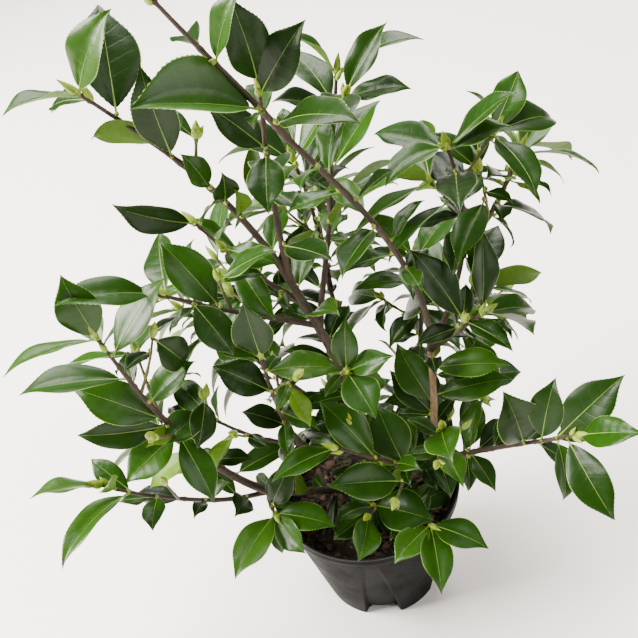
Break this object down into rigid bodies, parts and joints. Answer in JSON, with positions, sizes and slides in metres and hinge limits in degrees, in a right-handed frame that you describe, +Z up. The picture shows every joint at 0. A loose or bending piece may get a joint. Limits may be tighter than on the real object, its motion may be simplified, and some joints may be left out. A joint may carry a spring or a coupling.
{
  "type": "potted camellia shrub",
  "caption": "Young evergreen camellia shrub in bud, with open leafy shoots, in a round black plastic nursery pot.",
  "frame": {"origin": "centre of the pot's flat underside", "axes": "+Z up along the pot's axis, -Y towards the front of the plant, +X to the right seen from the front"},
  "size_m": [0.443, 0.3431, 0.6205],
  "materials": {
    "pot": "satin charcoal moulded plastic",
    "soil": "moist dark brown bark mix",
    "bark": "grey brown thin bark",
    "foliage": "glossy deep green leaf"
  },
  "bodies": {
    "root": {"pot": "pot", "soil": "soil", "trunk": "bark", "leader": "bark", "bough_back": "bark", "bough_back_left": "bark", "bough_back_right": "bark", "bough_high_back": "bark", "bough_high_right": "bark", "bough_left": "bark", "bough_mid_left": "bark", "bough_right": "bark", "bough_right_foot": "bark", "foliage_back": "foliage", "foliage_back_left": "foliage", "foliage_back_left_up": "foliage", "foliage_back_right": "foliage", "foliage_back_right_up": "foliage", "foliage_back_up": "foliage", "foliage_front": "foliage", "foliage_high_back": "foliage", "foliage_high_right": "foliage", "foliage_high_right_up": "foliage", "foliage_inner_left": "foliage", "foliage_inner_left_low": "foliage", "foliage_leader": "foliage", "foliage_left": "foliage", "foliage_left_high": "foliage", "foliage_left_high_back": "foliage", "foliage_left_low": "foliage", "foliage_low_back": "foliage", "foliage_low_right": "foliage", "foliage_middle": "foliage", "foliage_right": "foliage", "foliage_right_front": "foliage", "foliage_right_low": "foliage", "foliage_rim_front": "foliage", "foliage_rim_left": "foliage", "foliage_rim_right": "foliage", "foliage_upper_left": "foliage", "foliage_upper_middle": "foliage"}
  },
  "joints": []
}
